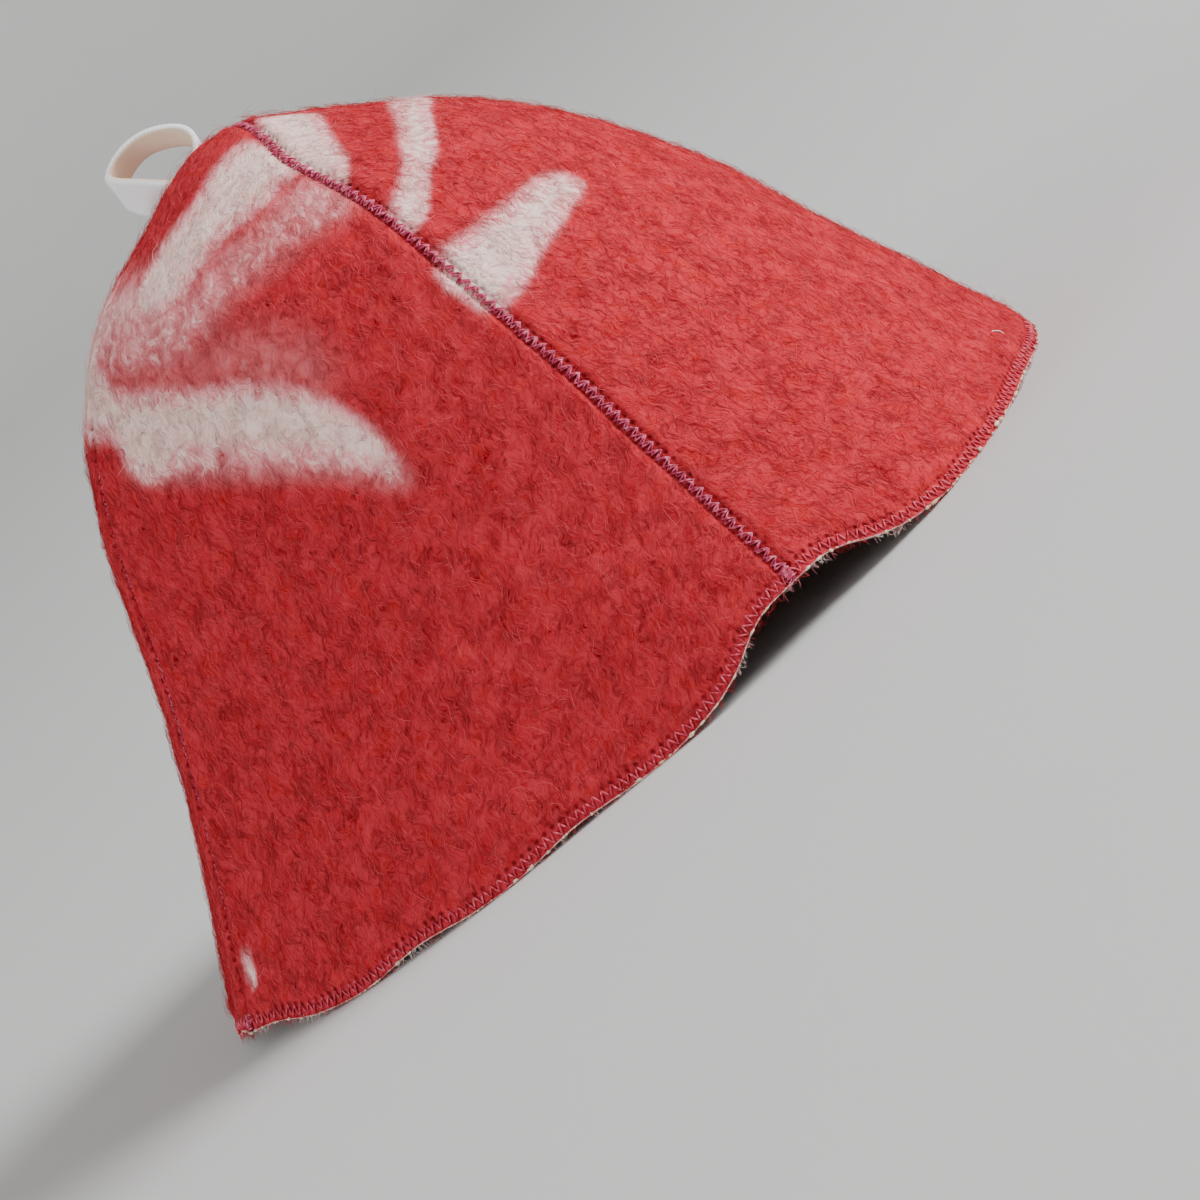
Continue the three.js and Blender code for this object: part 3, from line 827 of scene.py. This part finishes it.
def nap_tree(looks):
    tree, given = geometry_tree("Nap", FIBRE_SIZES, ["Seed"])
    named, chance = tree.named, tree.chance
    bare = named("side").over(0.1)
    near_seam = (given["Seam clear"] - named("from_seam")).over(0)
    near_hem = (given["Hem clear"] - named("from_hem")).over(0)
    shape = tree.geometry("DistributePointsOnFaces", {"distribute_method": "RANDOM"},
                          Mesh=given["Geometry"], Selection=1 - bare.most(near_seam).most(near_hem),
                          Density=given["Per square metre"], Seed=given["Seed"])
    normal, at = shape.other("Normal"), tree.geometry("InputPosition")
    way = named("nap", VECTORS) * given["Comb"] + tree.swirl(at, 170.0, 1.0) * 2.6
    way = way + chance((-0.6, -0.6, -0.6), (0.6, 0.6, 0.6), 11)
    lean = tree.unit((normal @ way) @ normal)
    for title, value in (("root", at), ("out", normal), ("lean", lean),
                         ("shade", chance(0.0, 1.0, 12)), ("long", chance(0.5, 1.3, 13)),
                         ("tall", chance(0.0, 1.0, 14) ** 3), ("bend", chance(-1.0, 1.0, 15))):
        kind = VECTORS if value.socket.type == "VECTOR" else "FLOAT"
        shape = tree.geometry("StoreNamedAttribute", {"data_type": kind, "domain": "POINT"},
                              Geometry=shape, Name=title, Value=value)
    line = tree.geometry("ResampleCurve", Curve=tree.geometry("CurvePrimitiveLine"), Count=FIBRE_POINTS)
    shape = tree.geometry("InstanceOnPoints", Points=shape, Instance=line)
    shape = tree.geometry("RealizeInstances", Geometry=shape)

    t = tree.geometry("SplineParameter")
    reach = named("long") * given["Length"]
    out, way = named("out", VECTORS), named("lean", VECTORS)
    swing = (t * (1.6 + named("bend").size() * 2.4)).sine() * named("bend") * given["Curl"] * reach
    lift = (t * 2.4).sine() * (0.2 + named("tall")) * given["Rise"]
    place = named("root", VECTORS) + way * (t * reach) + (out @ way) * swing + out * lift
    place = place.most((-9.0, -9.0, ABOVE_FLOOR))
    shape = tree.geometry("SetPosition", Geometry=shape, Position=place)
    return end_tree(tree, tubes(tree, shape, 3, given["Radius"], 1 - t * 0.6), looks)


# ---- Stitches: one thread that zigzags along a guide line ----
def stitch_tree(looks):
    tree, given = geometry_tree("Zigzag " + looks.name, STITCH_SIZES, ["Points", "Seed"])
    out = tree.unit(tree.named("out", VECTORS))
    line = tree.geometry("MeshToCurve", Mesh=given["Geometry"])
    line = tree.geometry("ResampleCurve", Curve=line, Count=given["Points"])
    side = tree.geometry("InputIndex").modulo(2.0) - 0.5
    tangent = tree.geometry("InputTangent")
    stray = tree.chance((-1, -1, -1), (1, 1, 1), given["Seed"])
    move = tree.unit(tangent @ out) * (side * given["Width"]) + stray * given["Uneven"]
    move = move + tangent * (side * given["Slant"])
    line = tree.geometry("SetPosition", Geometry=line, Offset=move)
    line = tree.geometry("SubdivideCurve", Curve=line, Cuts=3)
    phase = (tree.geometry("InputIndex").modulo(4.0) * (math.pi / 4)).sine()
    line = tree.geometry("SetPosition", Geometry=line, Offset=out * ((phase - 0.45) * given["Lift"]))
    return end_tree(tree, tubes(tree, line, 6, given["Radius"], 1.0), looks)


def sewn(name, tree, points, outward, stitch, seed=0):
    """Stitches along a line of edges."""
    pitch, *sizes = stitch
    edges = [(i, i + 1) for i in range(len(points) - 1)]
    guide = mesh_object("guide", points, [], values={"out": outward}, edges=edges)
    inputs = {title: size * MM for title, size in zip(STITCH_SIZES, sizes)}
    inputs.update(Points=half_stitches(points, pitch) + 1, Seed=seed)
    made = finished(guide, name, tree, inputs)
    bpy.data.objects.remove(guide)
    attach(made, "root")
    return made


# A stitch's sizes come after its pitch.
STITCH_SIZES = ["Width", "Slant", "Radius", "Lift", "Uneven"]
SEAM_STITCH = (STITCH_PITCH, STITCH_WIDE, -0.7, 0.27, 0.6, 0.2)
SECOND_PASS = (STITCH_PITCH, 2.7, 0.4, 0.27, 0.6, 0.3)
HEM_STITCH = (HEM_PITCH, HEM_WIDE, 0.3, 0.27, 0.5, 0.18)
BAR_TACK = (0.7, 3, 0.4, 0.24, 0.6, 0.35)
THREAD_TAIL = (1.6, 0, 0, 0.13, 0, 0.1)
FINE_TAIL = (0.9, 0, 0, 0.13, 0, 0.1)
SEAM_SUNK, HEM_SUNK, TACK_SUNK, TACK_LONG = 0.55, 0.3, 0.15, 4.4
# Loose ends of thread at the foot of a seam: sideways and down. They fall by a share of the
# second, and stand off the felt more and more.
TAIL_FALLS, TAIL_OUT, TAIL_SPREADS, TAIL_LOWEST = 0.5, 0.5, 0.2, 0.5
TAILS = [[(0.5, 0), (1.6, 1.4), (3.2, 1.8)], [(-0.4, 0.4), (0.8, 2), (2, 3.2), (3.2, 3.3)]]


def sew_seam(seam, name, tree):
    share, point, normal = seam_line(seam)
    sunk = point - normal * (SEAM_SUNK + NAP_CLOSES[seam] * NAP_SINKS)
    sewn("seam_stitches_" + name, tree, sunk, normal, SEAM_STITCH, seam)
    sewn("second_stitches_" + name, tree, sunk[1:-1], normal[1:-1], SECOND_PASS, seam + 5)
    foot = (1 - share) * GORE_LENGTH < SEAMS[seam][1] + STITCH_ENDS + TACK_LONG
    tacked = point[foot] - normal[foot] * TACK_SUNK
    sewn("bar_tack_" + name, tree, tacked, normal[foot], BAR_TACK, seam + 9)
    down, out = unit(point[-1] - point[-9]), normal[-1]
    across = np.cross(down, out)
    for number, tail in enumerate(TAILS):
        line = np.array([tacked[-1] + across * side + down * drop * TAIL_FALLS
                         + out * (TAIL_OUT + TAIL_SPREADS * drop) for side, drop in tail])
        line[:, 2] = np.maximum(line[:, 2], TAIL_LOWEST)
        outward = np.tile(out, (len(line), 1))
        sewn(f"thread_end_{number + 1}_{name}", tree, line, outward, THREAD_TAIL, number)


# ---- Raw edge of the hem: short loose fibres, and crumbs of cream wool ----
RIM_FROM, RIM_TO = 0.15, 1.3
CRUMBS, CRUMB_SMALL, CRUMB_LARGE, CRUMB_ROUGH = 400, 0.16, 0.55, 0.6
LOOSE_FIBRE_OUT = 1.4
LOOSE_FIBRE = [(17.0, 240.8), (16.2, 241.6), (15.3, 242.8), (15.5, 244.4)]


def cream_along(count, seed):
    """Where cream wool shows along the hem: 0 to 1, in runs of a few millimetres."""
    rough = np.random.default_rng(seed).random(count // 6)
    runs = np.interp(np.arange(count) / 6, np.arange(len(rough)), rough)
    return np.clip((runs - 0.55) * 4, 0, 0.9)


def make_rim_fibres(nap):
    """Fibres that grow outwards and down from a ribbon along the edge of the hem."""
    rows = [hem_line(inset)[1:] for inset in (RIM_FROM, RIM_TO)]
    count = len(rows[0][0])
    points = np.concatenate([place - out * BAND_DEPTH for place, out in rows])
    outward = unit(np.concatenate([out for _, out in rows]) * (1, 1, 0))
    faces = [(i, i + 1, count + i + 1, count + i) for i in range(count - 1)]
    clear = np.full(2 * count, 1.0)
    values = {"nap": outward + np.array([0, 0, -0.5]), "from_seam": clear, "from_hem": clear,
              "petal": np.tile(cream_along(count, 4), 2), "side": clear * 0}
    guide = mesh_object("rim", points, faces, values=values)
    fluff = finished(guide, "hem_edge_fibres", nap, {**RIM_FIBRES, "Seed": 9})
    bpy.data.objects.remove(guide)
    return fluff


def make_crumbs(looks):
    """Small rough lumps of wool that stick out of the edge."""
    shape = bmesh.new()
    bmesh.ops.create_icosphere(shape, subdivisions=2, radius=1.0)
    ball = np.array([vertex.co[:] for vertex in shape.verts])
    sides = [[vertex.index for vertex in face.verts] for face in shape.faces]
    shape.free()
    draw = np.random.default_rng(12)
    _, edge, outward = hem_line(0.2)
    along = unit(np.gradient(edge, axis=0))
    points, faces, shades = [], [], []
    for at in draw.integers(0, len(edge), CRUMBS):
        size = CRUMB_SMALL + (CRUMB_LARGE - CRUMB_SMALL) * draw.random() ** 2
        lump = ball * size * (0.5 + 0.7 * draw.random(3))
        lump = lump * (1 + CRUMB_ROUGH * (draw.random((len(ball), 1)) - 0.5))
        lump += (lump @ along[at])[:, None] * along[at] * (0.4 + 1.4 * draw.random())
        centre = edge[at] - unit(outward[at] * (1, 1, 0)) * (BAND_DEPTH + draw.random() * 0.7 - 0.45)
        centre[2] = max(centre[2], ABOVE_FLOOR / MM - lump[:, 2].min())
        faces += [[len(points) * len(ball) + i for i in side] for side in sides]
        points.append(lump + centre)
        shades.append(np.full(len(ball), draw.random()))
    values = {"shade": np.concatenate(shades)}
    return mesh_object("hem_crumbs", np.concatenate(points), faces, looks, values)


# ---- Hanging loop ----
TAPE_WIDTH, TAPE_THICKNESS, TAPE_CLEAR = 13, 2.0, 0.4
LOOP_FORWARD, LOOP_LEFT, LOOP_LEAN, LOOP_FREE = -0.052, 0.015, 45, 10
# The tape's near edge in a leaning plane, and the far edge's place: forward, up, drop, back.
LOOP = [
    (-2.5, 0, 6, 0), (2.5, 0.6, 6, 0), (5.8, 6.5, 6, 0), (4.2, 13, 6, 1), (-3.9, 21, 6.2, 1.5),
    (-12, 24.5, 7.5, 1), (-17.8, 23.5, 8.8, 0), (-16.8, 19, 8.5, 2), (-12.4, 11.1, 8.2, 4.5),
    (-8.2, 3.3, 8, 4), (-6, 0.4, 7, 2),
]
LOOP_STEPS, TAPE_SECTION, TAPE_EDGE, TAPE_ROUND = 150, 12, 0.35, (0.25, 0.62)


def loop_place(forward, up, slant, breadth):
    """A point of the loop, as the solid has it."""
    def seat(share):
        left = LOOP_LEFT + share * TAPE_WIDTH / GORE_LENGTH
        point, normal = felt_frame(LOOP_FORWARD + forward / GORE_LENGTH, -left + 0 * forward)
        return point + normal * (TAPE_CLEAR + TAPE_THICKNESS / 2)

    free = seat(0) + slant * breadth[:, None]
    held = smooth(up, 0, LOOP_FREE)[..., None]
    lean = math.radians(LOOP_LEAN)
    leaning = up[..., None] * np.array([0, math.sin(lean), math.cos(lean)])
    return seat(breadth) * (1 - held) + free * held + leaning


def tape_section():
    """Round-edged section of the tape: (share of the breadth, side) from edge to edge and back."""
    inset = TAPE_EDGE / TAPE_WIDTH
    share, side = TAPE_ROUND
    front = [(across, 1) for across in np.linspace(inset, 1 - inset, TAPE_SECTION)]
    front += [(1 - inset * share, side), (1, 0), (1 - inset * share, -side)]
    return np.array(front + [(1 - across, -side) for across, side in front])


def make_loop(looks):
    rows = np.array(LOOP, float)
    route = closed_spline(rows[:, :2], 24)
    drop, back = rows[:, 2], rows[:, 3]
    slants = closed_spline(np.stack([-back, np.sqrt(TAPE_WIDTH**2 - drop**2 - back**2), -drop], -1), 24)
    length = run_length([*route, route[0]])
    at = np.linspace(0, length[-1], LOOP_STEPS, endpoint=False)
    pick = lambda rows: np.stack([np.interp(at, length, [*row, row[0]]) for row in rows.T], -1)
    centre, slant = pick(route), pick(slants)
    along = unit(np.roll(centre, -1, axis=0) - np.roll(centre, 1, axis=0))
    breadths, sides = tape_section().T
    reach, count = sides * TAPE_THICKNESS / 2, len(sides)
    forward, up = centre[:, :1] + along[:, 1:] * reach, centre[:, 1:] - along[:, :1] * reach
    points = loop_place(forward, up, slant[:, None], breadths).reshape(-1, 3)
    flat = np.stack(np.broadcast_arrays(at[:, None], breadths * TAPE_WIDTH), -1).reshape(-1, 2)
    index = lambda step, k: (step % LOOP_STEPS) * count + k % count
    faces = [(index(s, k), index(s, k + 1), index(s + 1, k + 1), index(s + 1, k))
             for s in range(LOOP_STEPS) for k in range(count)]
    values = {"inner": np.tile(sides < -0.5, LOOP_STEPS)}
    return mesh_object("hanging_loop_tape", points, faces, looks, values, ("tape", flat))


# ---- Camera, light and floor ----
CAMERA_DISTANCE, CAMERA_ELEVATION, FRAME_WIDE = 1500, 7, 335.2
CAMERA_CIRCLES, LOOKS_AT, CAMERA_ROLL = 90, (5.95, -8.8, 24.8), 40.7
LIT, WORLD_LIGHT = (0, 0, 0.1), 0.4
KEY = dict(place=(2.7, -0.5, 1.6), size=1.7, power=158)
FILL = dict(place=(-2.7, -1.5, 0.4), size=2.2, power=76)
# The floor, in metres: rings near the hat, the flat, the curve's radius, the wall above it.
FLOOR_RINGS, FLOOR_FLAT, FLOOR_CURVE, FLOOR_WALL = (0.6, 1.2), 2.4, 1.2, 2.0
FLOOR_BENDS, FLOOR_SIDES = 16, 96


def make_camera():
    tilt, roll = math.radians(CAMERA_ELEVATION), math.radians(CAMERA_ROLL)
    place = Vector((CENTRED[0], CENTRED[1] - CAMERA_DISTANCE * math.cos(tilt),
                    CAMERA_CIRCLES + CAMERA_DISTANCE * math.sin(tilt)))
    way = Vector(LOOKS_AT) - place
    upward = Vector((math.sin(roll), 0, math.cos(roll)))
    back = -way.normalized()
    right = upward.cross(back).normalized()
    turn = Matrix((right, back.cross(right), back)).transposed()
    data = bpy.data.cameras.new("camera")
    data.sensor_width = 36
    data.lens = data.sensor_width * way.length / FRAME_WIDE
    made = add_object("camera", data)
    made.matrix_world = Matrix.Translation(place * MM) @ turn.to_4x4()
    bpy.context.scene.camera = made


def make_light(name, place, size, power):
    data = bpy.data.lights.new(name, "AREA")
    data.shape = "DISK"
    data.size, data.energy = size, power
    made = add_object(name, data)
    made.location = place
    made.rotation_euler = (Vector(LIT) - Vector(place)).to_track_quat("-Z", "Y").to_euler()


def make_floor():
    """A round pale floor that sweeps up into a wall on every side."""
    bends = np.radians(np.linspace(0, 90, FLOOR_BENDS + 1))
    radii = [*FLOOR_RINGS, *(FLOOR_FLAT + FLOOR_CURVE * np.sin(bends)), FLOOR_FLAT + FLOOR_CURVE]
    levels = [*(0 for _ in FLOOR_RINGS), *(FLOOR_CURVE * (1 - np.cos(bends))), FLOOR_CURVE + FLOOR_WALL]
    turns = np.radians(np.arange(FLOOR_SIDES) * 360 / FLOOR_SIDES)
    points = [(0, 0, 0)] + [(radius * np.cos(turn), radius * np.sin(turn), level)
                            for radius, level in zip(radii, levels) for turn in turns]
    sides = [(i, (i + 1) % FLOOR_SIDES) for i in range(FLOOR_SIDES)]
    faces = [(0, 1 + i, 1 + j) for i, j in sides]
    for near in range(1, len(points) - FLOOR_SIDES, FLOOR_SIDES):
        far = near + FLOOR_SIDES
        faces += [(near + i, far + i, far + j, near + j) for i, j in sides]
    made = mesh_object("floor", np.array(points) / MM, faces, floor_material())


def make_surroundings():
    world = bpy.data.worlds.new("studio")
    world.use_nodes = True
    background = world.node_tree.nodes["Background"]
    background.inputs["Color"].default_value = (1, 1, 1, 1)
    background.inputs["Strength"].default_value = WORLD_LIGHT
    bpy.context.scene.world = world
    make_light("key", **KEY)
    make_light("fill", **FILL)
    make_floor()


# ---- The hat ----
make_camera()
make_surroundings()

felt = felt_material()
fibres = nap_material()
tape = tape_material()

nap = nap_tree(fibres)
for gore, name in enumerate(GORES):
    body = make_gore(gore, felt)
    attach(body, "root")
    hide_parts(name)
    for kind, sizes in (("nap", NAP), ("stray_fibres", STRAYS)):
        comb = sizes["Comb"] * COMBED[gore]
        fluff = finished(body, f"{name}_{kind}", nap, {**sizes, "Comb": comb, "Seed": 3 + gore})
        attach(fluff, "root")

zigzag = stitch_tree(thread_material("seam_thread", *THREAD))
for seam, name in enumerate(["left_front", "right_front", "right_back", "left_back"]):
    sew_seam(seam, name, zigzag)
_, points, outward = hem_line(HEM_INSET)
hem_zigzag = stitch_tree(thread_material("hem_thread", *HEM_THREAD))
sewn("hem_stitches", hem_zigzag, points - outward * HEM_SUNK, outward, HEM_STITCH)

for piece in (make_rim_fibres(nap), make_crumbs(crumb_material())):
    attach(piece, "root")

around, down = np.array(LOOSE_FIBRE).T
place, outward = felt_down(around, down / GORE_LENGTH)
pale = stitch_tree(thread_material("pale_fibre", *PALE_FIBRE))
sewn("loose_fibre", pale, place + outward * LOOSE_FIBRE_OUT, outward, FINE_TAIL)

loop = make_loop(tape)
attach(loop, "root")
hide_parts("hanging_loop")
